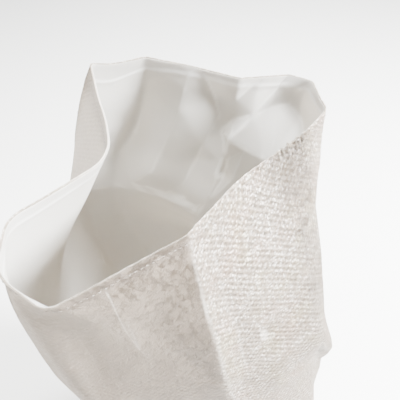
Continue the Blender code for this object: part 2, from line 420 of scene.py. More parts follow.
    def loose_points(self) -> list[Triple]:
        """Points of the seeded net, low near the mouth and higher further down.

        Returns:
            The points, in the same order on each call.
        """
        rng = np.random.default_rng(self.seed)
        points = []
        first, last, deep = self.shaped
        rows = np.arange(self.net_rows[0], self.deep - self.net_rows[1],
                         self.spacing * self.row_share)
        for index, depth in enumerate(rows):
            for step in np.arange(0.0, self.girth, self.spacing * self.girth / self.drawn_girth):
                along = step + self.spacing / 2 * (index % 2) + rng.uniform(-self.jitter, self.jitter)
                down = depth + rng.uniform(-self.jitter, self.jitter)
                push = rng.uniform(-1.0, 1.0)
                inside = (along - first) % self.girth < last - first
                if (down < deep and inside) or down > self.plain_below:
                    continue
                share = float(smooth_step(np.array((down - self.rougher[0]) / self.rougher[1])))
                points.append((along % self.girth, down,
                               push * (self.calm + (self.rough - self.calm) * share)))
        return points

    def calm_to(self, along: int) -> float:
        """Depth down to which the mouth's edge stays straight."""
        return next(deep for first, last, deep in self.straight_edge if first <= along <= last)

    def net(self) -> tuple[Array, list[tuple[int, int]]]:
        """The whole net, carried on past the seam.

        Returns:
            All points, and the creases as pairs of points.
        """
        points: list[Triple] = []
        edges: list[tuple[int, int]] = []
        top, past = (self.deep + row for row in self.foot_rows)
        for shift in (-self.girth, 0, self.girth):
            for chain in self.chains.values():
                first = len(points)
                points += [(a + shift, d, p) for a, d, p in chain]
                edges += [(first + i, first + i + 1) for i in range(len(chain) - 1)]
            points += [(a + shift, d, p) for a, d, p in self.loose_points()]
            for along in range(0, self.girth, self.edge_step):
                points += [(along + shift, depth, 0.0)
                           for depth in (0.0, self.calm_to(along), top, past)]
        return np.array(points), edges

    @cached_property
    def raster(self) -> Array:
        """Push of the net, its creases a little softened.

        Returns:
            The push on an even grid of 1 mm, as rows down by columns round.
        """
        points, edges = self.net()
        found, _, faces, origin, _, _ = delaunay_2d_cdt(
            [Vector(p[:2]) for p in points], edges, [], 0, self.snap)
        where = np.array([tuple(v) for v in found])
        push = np.array([points[o[0], 2] if o else 0.0 for o in origin])
        wide, tall = self.girth + 2 * self.margin, self.deep + 1
        sheet = np.zeros((tall, wide))
        for face in faces:
            (ax, ay), (bx, by), (cx, cy) = where[list(face[:3])]
            area = (bx - ax) * (cy - ay) - (cx - ax) * (by - ay)
            if abs(area) < self.least_area:
                continue
            x0 = max(0, math.floor(min(ax, bx, cx) + self.margin))
            x1 = min(wide - 1, math.ceil(max(ax, bx, cx) + self.margin))
            y0 = max(0, math.floor(min(ay, by, cy)))
            y1 = min(tall - 1, math.ceil(max(ay, by, cy)))
            if x1 < x0 or y1 < y0:
                continue
            x, y = np.meshgrid(np.arange(x0, x1 + 1) - self.margin, np.arange(y0, y1 + 1))
            second = ((x - ax) * (cy - ay) - (cx - ax) * (y - ay)) / area
            third = ((bx - ax) * (y - ay) - (x - ax) * (by - ay)) / area
            first = 1.0 - second - third
            hit = np.minimum(np.minimum(first, second), third) >= -self.slack
            values = first * push[face[0]] + second * push[face[1]] + third * push[face[2]]
            sheet[y0:y1 + 1, x0:x1 + 1][hit] = values[hit]
        sheet = self.blurred(sheet, self.soften)
        return sheet[:, self.margin:self.margin + self.girth + 1]

    @staticmethod
    def blurred(sheet: Array, passes: int) -> Array:
        """A raster with its creases softened.

        Args:
            sheet: the raster.
            passes: how many times it is blurred.

        Returns:
            A new raster.
        """
        sheet = sheet.copy()
        for _ in range(passes):
            sheet[:, 1:-1] = (sheet[:, :-2] + 2 * sheet[:, 1:-1] + sheet[:, 2:]) / 4
            sheet[1:-1] = (sheet[:-2] + 2 * sheet[1:-1] + sheet[2:]) / 4
        return sheet

    def height(self, along: Array, depth: Array) -> Array:
        """Push of the creased cloth in metres, on a grid of rows by columns."""
        return MM * self.sample(self.raster, along, depth)

    def wear_and_highlight(self, along: Array, depth: Array) -> Array:
        """How sharply the cloth is creased, from 0 to 1, on a grid of rows by columns."""
        # The sharpness drives the stress whitening and the painted highlights along the creases.
        sharp = np.abs(self.raster - self.blurred(self.raster, self.wear_and_highlight_blur)) / self.wear_and_highlight_at
        return np.clip(self.sample(sharp, along, depth), 0.0, 1.0)

    def sample(self, sheet: Array, along: Array, depth: Array) -> Array:
        """Read a raster between its cells.

        Args:
            sheet: the raster.
            along: distances round the cloth, one for each column, in metres.
            depth: depths, one for each row, in metres.

        Returns:
            Rows by columns.
        """
        tall, wide = sheet.shape
        x = np.mod(along / MM, self.girth)
        y = np.clip(depth / MM, 0, tall - 1 - self.snap)
        x0 = np.minimum(np.floor(x).astype(int), wide - 2)
        y0 = np.floor(y).astype(int)
        fx, fy = (x - x0)[None, :], (y - y0)[:, None]
        grid = [sheet[np.ix_(y0 + j, x0 + i)] for j in (0, 1) for i in (0, 1)]
        return ((grid[0] * (1 - fx) + grid[1] * fx) * (1 - fy)
                + (grid[2] * (1 - fx) + grid[3] * fx) * fy)


@dataclass(frozen=True)
class RoughHem:
    """The stretch of the hem that its stitching has drawn up and frayed."""

    place: float = 0.372
    wide: float = 0.032

    def share(self, along: Array) -> Array:
        """How rough the hem is at each place, from 0 to 1."""
        return bell(lap(along, self.place), self.wide)


@dataclass
class HemRelief:
    """Gathers under the hem's stitching, and the ridge that the folded hem presses out."""

    rough: RoughHem = RoughHem()
    spacing: float = 0.0058
    gather: float = 0.0004
    depth: float = 0.0055
    reach: float = 0.0055
    gather_plain: float = 0.20
    gather_rough: float = 2.5
    gather_left: float = 0.45
    left_place: float = 0.560
    left_wide: float = 0.070
    wobble: tuple[Triple, ...] = ((0.8, 9, 1.3), (0.6, 23, 0.0))
    overtone: Triple = (0.35, 1.63, 1.1)
    ridge: float = 0.0005
    ridge_before: float = 0.0015
    ridge_soft: float = 0.004
    width: tuple[Pair, ...] = (
        (0, 20), (27, 23), (40, 20), (60, 15), (114, 10.5), (174, 10.5), (300, 12), (853, 13),
        (930, 14))

    def edge(self, along: Array) -> Array:
        """Width of the folded hem at each place, in metres."""
        return between_knots(self.width, along)

    def strength(self, along: Array) -> Array:
        """How strongly the stitching gathers the cloth at each place."""
        left = bell(lap(along, self.left_place), self.left_wide)
        return self.gather_plain + self.gather_rough * self.rough.share(along) + self.gather_left * left

    def height(self, along: Array, depth: Array) -> Array:
        """Relief of the hem.

        Args:
            along: distances round the cloth, one for each column, in metres.
            depth: depths, one for each row, in metres.

        Returns:
            Rows by columns, in metres.
        """
        edge = self.edge(along)[None, :]
        along, depth = along[None, :], depth[:, None]
        phase = 2 * math.pi * along / self.spacing + ripple(along, self.wobble)
        tall, finer, start = self.overtone
        wave = np.sin(phase) + tall * np.sin(finer * phase + start)
        gathers = self.gather * self.strength(along) * wave * bell(depth - self.depth, self.reach)
        past_edge = smooth_step((depth - edge + self.ridge_before) / self.ridge_soft)
        return gathers + self.ridge * (1.0 - past_edge)


@dataclass
class RimLine:
    """How the mouth's edge rises and dips along its way round.

    Each knot is a distance round the mouth and a height, in millimetres. Where the
    stitching has drawn the cloth up, the edge is also a little ragged.
    """

    rough: RoughHem = RoughHem()
    fades: float = 0.075
    smoothing: int = 2
    knots: tuple[Pair, ...] = (
        (0, 3.2), (22, -0.8), (44, 0.6), (61, 3.0), (90, 1.6), (114, 1.2), (174, 0.6),
        (255, 1.6), (285, -1.0), (305, 0.5), (360, 0.0), (430, 1.0), (470, -0.8), (508, 0.0),
        (600, -1.0), (680, 1.5), (760, -1.5), (850, 0.5), (900, 1.6), (950, 0.4))
    tears: tuple[Triple, ...] = ((1.0, 83, 0.0), (0.8, 127, 2.0), (0.7, 197, 0.5))
    ragged: float = 0.0010
    ragged_plain: float = 0.08
    ragged_rough: float = 0.8

    def lift(self, along: Array, depth: Array) -> Array:
        """Height added to the cloth.

        Args:
            along: distances round the cloth, one for each column, in metres.
            depth: depths, one for each row, in metres.

        Returns:
            Rows by columns, in metres.
        """
        rise = between_knots(self.knots, along)
        for _ in range(self.smoothing):
            rise = (np.roll(rise, 1) + 2 * rise + np.roll(rise, -1)) / 4
        torn = self.ragged_plain + self.ragged_rough * self.rough.share(along)
        rise = rise + self.ragged * torn * ripple(along, self.tears)
        return rise[None, :] * (1.0 - smooth_step(depth / self.fades))[:, None]


@dataclass
class ClothRelief:
    """All that lifts the cloth off its plain form."""

    folds: FoldNet = field(default_factory=FoldNet)
    hem: HemRelief = field(default_factory=HemRelief)
    rim: RimLine = field(default_factory=RimLine)
    flat_from: float = 0.62
    flat_over: float = 0.05

    def height(self, along: Array, depth: Array) -> Array:
        """Folds and hem together, fading onto the flat bottom."""
        fade = 1.0 - smooth_step((depth[:, None] - self.flat_from) / self.flat_over)
        return (self.folds.height(along, depth) + self.hem.height(along, depth)) * fade


@dataclass
class ShellGrid:
    """A tube drawn from a primitive grid, rolled round the sack and welded at its seam."""

    name: str
    along: Array
    rows: Array
    places: Array
    whitening_and_highlight: Array
    thickness: float
    weld: float = 1e-6
    low: float = 0.1
    smooth_to: float = math.radians(50)

    def build(self) -> bpy.types.Object:
        """Make the shell.

        Returns:
            The finished object, with a UV map in metres of cloth.
        """
        columns, last = len(self.along), len(self.rows) - 1
        bpy.ops.object.select_all(action="DESELECT")
        bpy.ops.mesh.primitive_grid_add(x_subdivisions=columns, y_subdivisions=last, size=2.0)
        shell = bpy.context.object
        shell.name = shell.data.name = self.name
        mesh = shell.data
        flat = np.empty(len(mesh.vertices) * 3)
        mesh.vertices.foreach_get("co", flat)
        column = np.rint((flat[0::3] + 1.0) / 2.0 * columns).astype(int)
        row = np.rint((1.0 - flat[1::3]) / 2.0 * last).astype(int)
        mesh.vertices.foreach_set("co", self.places[row, column % columns].ravel())
        self.lay_uv(mesh, row, column)
        # The crease attribute carries the whitening and the painted highlights along the creases.
        crease = mesh.attributes.new("crease", "FLOAT", "POINT")
        crease.data.foreach_set("value", self.whitening_and_highlight[row, column % columns].astype(np.float32))
        bpy.ops.object.mode_set(mode="EDIT")
        bpy.ops.mesh.select_all(action="SELECT")
        bpy.ops.mesh.remove_doubles(threshold=self.weld)
        bpy.ops.mesh.flip_normals()
        self.close_bottom(mesh)
        bpy.ops.object.mode_set(mode="OBJECT")
        solid = shell.modifiers.new("thickness", "SOLIDIFY")
        solid.thickness = self.thickness
        solid.offset = -1.0
        solid.use_even_offset = True
        bpy.ops.object.modifier_apply(modifier=solid.name)
        bpy.ops.object.shade_smooth_by_angle(angle=self.smooth_to)
        return shell

    def close_bottom(self, mesh: bpy.types.Mesh) -> None:
        """Fill the slit that is left where the bottom's rows meet, in edit mode.

        Args:
            mesh: the tube, open at its mouth and at the slit.
        """
        bpy.ops.mesh.select_mode(type="EDGE")
        bpy.ops.mesh.select_all(action="DESELECT")
        bpy.ops.mesh.select_non_manifold(use_wire=False, use_boundary=True,
                                         use_multi_face=False, use_non_contiguous=False,
                                         use_verts=False)
        bpy.ops.object.mode_set(mode="OBJECT")
        low = [vertex.co.z < self.low for vertex in mesh.vertices]
        for edge in mesh.edges:
            edge.select = edge.select and low[edge.vertices[0]]
        for vertex in mesh.vertices:
            vertex.select = vertex.select and low[vertex.index]
        bpy.ops.object.mode_set(mode="EDIT")
        bpy.ops.mesh.edge_face_add()
        bpy.ops.mesh.select_mode(type="VERT")

    def lay_uv(self, mesh: bpy.types.Mesh, row: Array, column: Array) -> None:
        """Write the cloth's own length and width as UV, in metres.

        Args:
            mesh: the grid before it is welded.
            row: the row of each vertex.
            column: the column of each vertex.
        """
        around = np.append(self.along, self.along[0] + GIRTH)
        loops = np.empty(len(mesh.loops), dtype=np.int32)
        mesh.loops.foreach_get("vertex_index", loops)
        uv = np.stack([around[column[loops]], self.rows[row[loops]]], -1)
        layer = mesh.uv_layers[0] if mesh.uv_layers else mesh.uv_layers.new(name="UVMap")
        layer.data.foreach_set("uv", uv.ravel().astype(np.float32))


class Nodes:
    """Short ways of placing shader nodes."""

    def __init__(self, tree: Tree) -> None:
        """Keep the tree that the nodes go in."""
        self.tree = tree

    def add(self, kind: str, inputs: dict[str | int, object] | None = None,
            **settings: object) -> Node:
        """Place a node.

        Args:
            kind: the node's type.
            inputs: what its sockets are linked or set to.
            settings: its properties.

        Returns:
            The node.
        """
        node = self.tree.nodes.new(kind)
        for name, value in settings.items():
            setattr(node, name, value)
        self.feed(node, inputs or {})
        return node

    def feed(self, node: Node, inputs: dict[str | int, object]) -> None:
        """Link a node's sockets to outputs, or set them to constants.

        Args:
            node: the node.
            inputs: an output or a constant for each socket; a colour gets its alpha.
        """
        for socket, value in inputs.items():
            target = node.inputs[socket]
            if isinstance(value, Socket):
                self.tree.links.new(value, target)
            elif target.type == "RGBA":
                target.default_value = (*value, 1.0)
            else:
                target.default_value = value

    def maths(self, operation: str, *values: object, clamp: bool = False) -> Socket:
        """A Math node of the given values."""
        inputs = dict(enumerate(values))
        return self.add("ShaderNodeMath", inputs, operation=operation, use_clamp=clamp).outputs[0]

    def times(self, *values: object) -> Socket:
        """The product of the given values."""
        return reduce(lambda first, second: self.maths("MULTIPLY", first, second), values)

    def plus(self, *values: object) -> Socket:
        """The sum of the given values."""
        return reduce(lambda first, second: self.maths("ADD", first, second), values)

    def less(self, first: object, second: object) -> Socket:
        """The first value less the second."""
        return self.maths("SUBTRACT", first, second)

    def remap(self, value: object, span: Pair, low: float = 0.0, high: float = 1.0) -> Socket:
        """A value's way along a span, spread between two others and clamped."""
        inputs = {0: value, 1: span[0], 2: span[1], 3: low, 4: high}
        return self.add("ShaderNodeMapRange", inputs).outputs[0]

    def zone(self, value: object, comes: Pair, goes: Pair) -> Socket:
        """A mask that comes in over one span and goes out over another."""
        return self.times(self.remap(value, comes), self.remap(value, goes, 1.0, 0.0))

    def mix(self, share: object, first: object, second: object, blend: str = "MIX") -> Socket:
        """A colour Mix node."""
        inputs = {0: share, 6: first, 7: second}
        return self.add("ShaderNodeMix", inputs, data_type="RGBA", blend_type=blend).outputs[2]

    def chance(self, dimensions: str, **place: Socket) -> Sockets:
        """A White Noise texture's outputs."""
        return self.add("ShaderNodeTexWhiteNoise", place, noise_dimensions=dimensions).outputs

    def split(self, vector: Socket) -> Sockets:
        """The parts of a vector."""
        return self.add("ShaderNodeSeparateXYZ", {0: vector}).outputs

    def shared(self, group: Tree, place: Socket, scale: float) -> Socket:
        """A shared effect, placed at its own scale."""
        return self.add("ShaderNodeGroup", {0: place, 1: scale}, node_tree=group).outputs[0]


class GroupNodes(Nodes):
    """The inside of a node group that takes a place and a number and puts out values."""

    def __init__(self, name: str, place: str, number: str, usual: float) -> None:
        """Open the group.

        Args:
            name: the group's name.
            place: the name of its input for the place.
            number: the name of its input for the number.
            usual: the number's usual value.
        """
        super().__init__(bpy.data.node_groups.new(name, "ShaderNodeTree"))
        sockets = self.tree.interface
        sockets.new_socket(place, in_out="INPUT", socket_type="NodeSocketVector")
        sockets.new_socket(number, in_out="INPUT", socket_type="NodeSocketFloat").default_value = usual
        self.place, self.number = self.add("NodeGroupInput").outputs[:2]

    def close(self, **results: Socket) -> Tree:
        """Put out the named results.

        Args:
            results: the value of each output.

        Returns:
            The finished group.
        """
        for name in results:
            self.tree.interface.new_socket(name, in_out="OUTPUT", socket_type="NodeSocketFloat")
        self.add("NodeGroupOutput", results)
        return self.tree


@dataclass(frozen=True)
class Cloud:
    """Noise spread over a span of its values."""

    scale: float
    detail: float
    roughness: float
    span: Pair

    def over(self, n: Nodes, place: Socket, scale: Socket | None = None) -> Socket:
        """The spread noise.

        Args:
            n: the nodes that it goes among.
            place: the vector that it is laid on.
            scale: its scale, where that isn't its own.

        Returns:
            A value between 0 and 1.
        """
        noise = n.add("ShaderNodeTexNoise", {
            "Vector": place, "Scale": scale or self.scale, "Detail": self.detail,
            "Roughness": self.roughness})
        return n.remap(noise.outputs["Fac"], self.span)


@dataclass(frozen=True)
class TapeWeave:
    """Plain weave of flat tapes, wider round the sack than down it.

    The rows of the weave come from two waves over the tapes, the leaning one and the
    other; they say where a crossing is painted lit and where it is painted shaded. Each
    share is the number of tapes round and down, for one in the input.
    """

    usual_tapes: float = 340.0
    shares: Pair = (0.68, 1.0)
    wander: float = 0.8
    wander_scales: Pair = (34.0, 47.0)
    leaning: float = 0.62
    other: float = 0.60
    full: float = 0.75
    edge: float = 5.0
    swell: float = 0.30
    groove: float = -0.09
    tilt: float = 0.9
    hairline: float = 0.12
    fibres: float = 2.1

    def group(self) -> Tree:
        """Build the weave's node group.

        Returns:
            A group that takes the cloth's UV in metres and the number of tapes in a metre of
            its depth, and puts out the weave's height, how far each place lies on a tape that
            runs down the sack (where a crossing is painted lit), a shade for each tape, a mask
            of the gaps between tapes (painted dark as shade), a value for each crossing and a
            value for each small patch of fibre.
        """
        n = GroupNodes("tape_weave", "UV", "Tapes per metre", self.usual_tapes)
        metres = n.split(n.place)
        lines, cells, across = [], [], []
        for axis in (0, 1):
            wander = n.add("ShaderNodeTexNoise", {
                "Vector": n.place, "Scale": self.wander_scales[axis], "Detail": 1.0})
            drift = n.times(n.less(wander.outputs["Fac"], 0.5), self.wander)
            line = n.plus(n.times(metres[axis], self.shares[axis], n.number), drift)
            cell = n.maths("FLOOR", line)
            lines.append(line)
            cells.append(cell)
            across.append(n.less(n.less(line, cell), 0.5))
        leaning = n.maths("COSINE", n.times(n.plus(*lines), math.pi))
        other = n.maths("COSINE", n.times(n.less(*lines), math.pi))
        checks = n.plus(n.times(leaning, self.leaning), n.times(other, self.other))
        # Mask of crossings painted lit (1) and painted shaded (0): its rows paint the weave's light and
        # shade.
        warp_lit = n.remap(checks, (-self.full, self.full))
        edges = [n.maths("POWER", n.maths("ABSOLUTE", n.times(value, 2.0)), self.edge)
                 for value in across]
        either = n.maths("MAXIMUM", *edges)
        # Gap mask, which is painted near black: painted shade in the gaps between tapes.
        gap_shade = n.maths("ADD", n.times(*edges), n.times(either, self.hairline), clamp=True)
        crossing = n.chance("2D", Vector=n.add("ShaderNodeCombineXYZ",
                                               dict(enumerate(cells))).outputs[0])
        height = n.plus(n.times(checks, self.swell), n.times(either, self.groove))
        tilts = n.split(crossing["Color"])
        for axis in (0, 1):
            lean = n.times(n.less(tilts[axis], 0.5), self.tilt)
            height = n.plus(height, n.times(lean, across[axis]))
        round_shade, down_shade = (n.chance("1D", W=cell)["Value"] for cell in cells)
        shade = n.add("ShaderNodeMix", {0: warp_lit, 2: down_shade, 3: round_shade}, data_type="FLOAT")
        finer = n.add("ShaderNodeVectorMath", {0: n.place, "Scale": n.times(n.number, self.fibres)},
                      operation="SCALE")
        patch = n.add("ShaderNodeVectorMath", {0: finer.outputs[0]}, operation="FLOOR")
        return n.close(Height=height, Warp=warp_lit, Shade=shade.outputs[0], Gap=gap_shade,
                       Crossing=crossing["Value"],
                       Speck=n.chance("2D", Vector=patch.outputs[0])["Value"])


@dataclass(frozen=True)
class HandlingDust:
    """Cloudy dust and handling marks."""

    cloud: Cloud = Cloud(7.0, 5.0, 0.62, (0.42, 0.72))

    def group(self) -> Tree:
        """A node group that takes a place and a scale, and puts out a mask."""
        n = GroupNodes("handling_dust", "Place", "Scale", self.cloud.scale)
        return n.close(Mask=self.cloud.over(n, n.place, n.number))


@dataclass(frozen=True)
class Crumple:
    """Slight facets of cloth that has been crushed and pulled straight."""

    usual_scale: float = 13.0
    finer: Pair = (1.0, 3.1)

    def group(self) -> Tree:
        """Build the node group.

        Returns:
            A group that takes a place and a scale, and puts out a height.
        """
        n = GroupNodes("crumple", "Place", "Scale", self.usual_scale)
        heights = []
        for finer in self.finer:
            facets = n.add("ShaderNodeTexVoronoi", {
                "Vector": n.place, "Scale": n.times(n.number, finer)}, feature="F1")
            heights.append(n.maths("DIVIDE", facets.outputs["Distance"], finer))
        return n.close(Height=n.plus(*heights))


@dataclass(frozen=True)
class Mark:
    """A colour that comes in over a span of some value, up to its strength."""

    span: Pair
    strength: float
    colour: Triple


class Face(Nodes):
    """A material's nodes, with its principled shader and the colour laid so far."""

    def __init__(self, name: str) -> None:
        """Start the material.

        Args:
            name: the material's name.
        """
        self.material = bpy.data.materials.new(name)
        self.material.use_nodes = True
        super().__init__(self.material.node_tree)
        self.shader = self.tree.nodes["Principled BSDF"]
        self.colour: Socket | None = None

    def lay(self, mark: Mark, value: Socket, *masks: Socket) -> None:
        """Lay a mark on the colour, where a value says and the masks leave it."""
        share = self.times(self.remap(value, mark.span, 0.0, mark.strength), *masks)
        self.colour = self.mix(share, self.colour, mark.colour)

    def crease(self) -> Socket:
        """How sharply the ply is creased, from its own attribute."""
        return self.add("ShaderNodeAttribute", attribute_name="crease").outputs["Fac"]

    def dress(self, grain: Socket, height: Socket, finish: "Finish") -> Socket:
        """Give the shader its colour, its roughness and its relief.

        Args:
            grain: what the roughness follows.
            height: the relief.
            finish: the finish, which says how rough and how high.

        Returns:
            The normal of the relief.
        """
        normal = self.add("ShaderNodeBump", {"Distance": finish.relief, "Height": height}).outputs[0]
        rough = self.remap(grain, (0.0, 1.0), *finish.roughness)
        self.feed(self.shader, {"Base Color": self.colour, "Roughness": rough, "Normal": normal})
        return normal


@dataclass(frozen=True)
class Finish:
    """What every finish has: a name, a span of roughness and the height of its relief."""

    name: str
    roughness: Pair
    relief: float


@dataclass(frozen=True)
class Sheet(Finish):
    """A thin ply: light comes through behind its principled face."""

    through: float
    glow: Triple

    def let_through(self, face: Face, normal: Socket) -> bpy.types.Material:
        """Mix in the light that comes through the ply.

        Args:
            face: the material's nodes.
            normal: the normal of the ply's relief.

        Returns:
            The finished material.
        """
        thin = face.add("ShaderNodeBsdfTranslucent", {"Color": self.glow, "Normal": normal})
        blend = face.add("ShaderNodeMixShader", {
            0: self.through, 1: face.shader.outputs[0], 2: thin.outputs[0]})
        face.feed(face.tree.nodes["Material Output"], {"Surface": blend.outputs[0]})
        return face.material


@dataclass(frozen=True)
class ClothZones:
    """Where the cloth's looks change, in metres round the mouth or down the wall.

    Each pair is a span over which something comes in or goes out.
    """

    rim: Pair = (0.0005, 0.0040)
    upper: Pair = (0.14, 0.30)
    # The front left: its weave is flattened and shade is painted on it.
    front: Span = ((0.506, 0.511), (0.640, 0.720))
    front_lighter: Pair = (0.530, 0.620)
    side: Span = ((0.330, 0.360), (0.385, 0.425))
    pressed: Span = ((0.770, 0.830), (0.960, 0.995))
    ragged: Span = ((0.335, 0.360), (0.400, 0.440))
    ragged_down: Pair = (0.012, 0.070)
    # Depths over which the stain and the painted shade grow stronger towards the hem.
    stain_and_shade_down: Pair = (0.010, 0.065)
    # Depths over which the crease whitening and its painted highlights fade.
    whitening_and_highlight_down: Pair = (0.20, 0.32)
    crumpled_down: Pair = (0.08, 0.30)
    line_down: Span = ((0.006, 0.016), (0.09, 0.13))


class ClothFace(Face):
    """The cloth's nodes, with the values that its finish is worked out from."""

    rim_relief: float = 0.15
    # How much of the front's painted shade and the side's stain is left low on the wall.
    lower_stain_and_shade: float = 0.12
    front_flat: float = 0.93
    pressed_flat: float = 0.6
    cloud_scale: float = 7.0
    blotch_scale: float = 26.0
    mottled: Cloud = Cloud(130.0, 4.0, 0.7, (0.46, 0.62))
    streaked: Cloud = Cloud(620.0, 2.0, 0.6, (0.42, 0.62))
    streak_turn: float = math.radians(-62.0)
    streak_stretch: Triple = (1.0, 5.0, 1.0)

    def __init__(self, finish: "WovenTape", weave: Tree, dust: Tree) -> None:
        """Place the nodes.

        Args:
            finish: the cloth's finish.
            weave: the weave group.
            dust: the dust group.
        """
        super().__init__(finish.name)
        zones = finish.zones
        places = self.add("ShaderNodeTexCoord").outputs
        self.uv, self.spot = places["UV"], places["Object"]
        self.weave = self.add("ShaderNodeGroup", {0: self.uv, 1: finish.tapes_per_metre},
                              node_tree=weave).outputs
        self.clouds = self.shared(dust, self.spot, self.cloud_scale)
        self.blotches = self.shared(dust, self.spot, self.blotch_scale)
        self.around, self.down = self.split(self.uv)[:2]
        self.below_rim = self.remap(self.down, zones.rim, self.rim_relief, 1.0)
        self.upper = self.remap(self.down, zones.upper, 1.0, self.lower_stain_and_shade)
        self.front = self.times(self.zone(self.around, *zones.front), self.upper)
        self.side = self.times(self.zone(self.around, *zones.side), self.upper)
        self.pressed = self.zone(self.around, *zones.pressed)
        self.ragged = self.times(self.zone(self.around, *zones.ragged),
                                 self.remap(self.down, zones.ragged_down, 1.0, 0.0))
        self.flat = self.plus(self.times(self.front, self.front_flat),
                              self.times(self.pressed, self.pressed_flat))
        self.woven = self.less(1.0, self.flat)
        self.mottle = self.mottled.over(self, self.uv)
        turned = self.add("ShaderNodeMapping", {
            "Vector": self.uv, "Rotation": (0.0, 0.0, self.streak_turn),
            "Scale": self.streak_stretch}, vector_type="TEXTURE")
        self.streaks = self.streaked.over(self, turned.outputs[0])


@dataclass(frozen=True)
class WovenTape(Sheet):
    """White polypropylene tape cloth, a little dusty.

    The stains, and the painted shade on the front left, are the shares of clouds, blotches,
    mottle and streaks. The fold's curve gives its place round the mouth from its depth: a
    place, a slope and a bend.
    """

    name: str = "woven_tape"
    roughness: Pair = (0.34, 0.58)
    relief: float = 0.0016
    through: float = 0.46
    glow: Triple = (0.88, 0.83, 0.76)
    # Warp and weft colours paint the weave's light and shade: lit and shaded crossings of one white
    # tape.
    warp_lit: Triple = (0.345, 0.280, 0.226)
    weft_shaded: Triple = (0.145, 0.112, 0.086)
    # Near black: painted shade in the gaps between tapes, also used for dark specks and holes.
    deep: Triple = (0.05, 0.040, 0.031)
    # Pale colour of stress whitening, also used as painted highlight on creases and the fold line.
    whitening_and_highlight: Triple = (0.70, 0.665, 0.62)
    dust: Triple = (0.18, 0.141, 0.114)
    # Brown for the stains at the side and the foot, and for the painted shade on the front left.
    soil_and_shade: Triple = (0.050, 0.034, 0.022)
    tints: tuple[tuple[Cloud, Triple], ...] = (
        (Cloud(27.0, 3.0, 0.6, (0.50, 0.66)), (1.0, 0.90, 0.88)),
        (Cloud(33.0, 3.0, 0.6, (0.50, 0.66)), (0.96, 0.97, 0.84)))
    zones: ClothZones = ClothZones()
    tapes_per_metre: float = 350.0
    dull_tape: Mark = Mark((0.2, 1.0), 0.25, dust)
    dull_crossing: Mark = Mark((0.50, 1.0), 0.70, dust)
    # Painted shade in the gaps between tapes.
    gap_shade: Mark = Mark((0.0, 1.0), 0.75, deep)
    # Painted glints: bright specks that stand for the tapes' sparkling highlights.
    painted_glint: Mark = Mark((0.82, 0.92), 0.75, (0.78, 0.745, 0.70))
    dark_fibre: Mark = Mark((0.16, 0.08), 0.70, deep)
    hole: Mark = Mark((0.44, 0.30), 0.9, deep)
    cloudy: Mark = Mark((0.0, 1.0), 0.42, dust)
    # Painted shade on the front left, and stain on the side.
    stain_and_shade: Mark = Mark((0.0, 1.0), 1.0, soil_and_shade)
    foot: Mark = Mark((0.585, 0.672), 0.5, soil_and_shade)
    # Crease whitening that also paints highlights on the creases' ridges.
    crease_whitening_and_highlight: Mark = Mark((0.25, 0.80), 0.45, whitening_and_highlight)
    pressed: Mark = Mark((0.0, 1.0), 0.45, whitening_and_highlight)
    # Painted highlight along the thin ridge on the front left.
    fold_highlight_line: Mark = Mark((0.0010, 0.0002), 0.30, whitening_and_highlight)
    fold_curve: Triple = (0.5783, 0.571, 4.367)
    # Shares that build both the side's stain and the front left's painted shade.
    stain_and_shade_shares: tuple[float, ...] = (0.20, 0.50, 0.55, 0.20)
    stain_and_shade_at_hem: float = 1.7
    # Strength of the painted shade on the front left.
    front_painted_shade: float = 0.12
    side_soil: float = 0.15
    front_shade_far: float = 0.45
    whitening_and_highlight_low: float = 0.3
    mottle_relief: float = 0.20
    streak_relief: float = 0.07
    crumple_scale: float = 13.0
    crumple_relief: Pair = (0.25, 2.0)

    def colour_tapes(self, face: ClothFace) -> None:
        """The cloth's own colour, with its fibres, gaps and dust.

        Args:
            face: the cloth's nodes.
        """
        weave, woven = face.weave, face.woven
        # Painted light and shade of the weave: lit crossings take the warp colour, shaded ones the weft
        # colour.
        warp_lit = face.plus(face.times(weave["Warp"], woven), face.times(face.flat, 0.5))
        face.colour = face.mix(warp_lit, self.weft_shaded, self.warp_lit)
        face.lay(self.dull_tape, weave["Shade"])
        face.lay(self.dull_crossing, weave["Crossing"])
        # Painted shade in the gaps between tapes, away from the rim and the flat stretches.
        face.lay(self.gap_shade, weave["Gap"], face.below_rim, woven)
        # Painted glints on the woven stretches.
        face.lay(self.painted_glint, weave["Speck"], woven)
        face.lay(self.dark_fibre, weave["Speck"], woven)
        face.lay(self.hole, weave["Speck"], face.ragged)
        for place, (cloud, tint) in zip((face.uv, face.spot), self.tints):
            share = face.times(cloud.over(face, place), woven)
            face.colour = face.mix(share, face.colour, tint, "MULTIPLY")
        face.lay(self.cloudy, face.clouds)

    def soil_and_shade_cloth(self, face: ClothFace) -> None:
        """Paint shade on the front left, and stain the side and the foot.

        Args:
            face: the cloth's nodes.
        """
        kinds = (face.clouds, face.blotches, face.mottle, face.streaks)
        marks = face.plus(*(face.times(kind, share) for kind, share in zip(kinds, self.stain_and_shade_shares)))
        marks = face.times(marks, face.remap(face.down, self.zones.stain_and_shade_down,
                                             self.stain_and_shade_at_hem, 1.0))
        # Painted shade on the front left, strongest near its crease and lighter further round.
        front = face.times(face.front, face.remap(face.around, self.zones.front_lighter, 1.0,
                                                  self.front_shade_far))
        soiled_and_shaded = face.maths("ADD", face.times(front, face.plus(marks, self.front_painted_shade)),
                            face.times(face.side, face.plus(marks, self.side_soil)), clamp=True)
        face.lay(self.stain_and_shade, soiled_and_shaded)
        face.lay(self.foot, face.down, face.mottle)

    def whiten_and_highlight_folds(self, face: ClothFace) -> None:
        """Whiten creases and pressed fold, painting highlights on creases and the front left's fold
        line.

        Args:
            face: the cloth's nodes.
        """
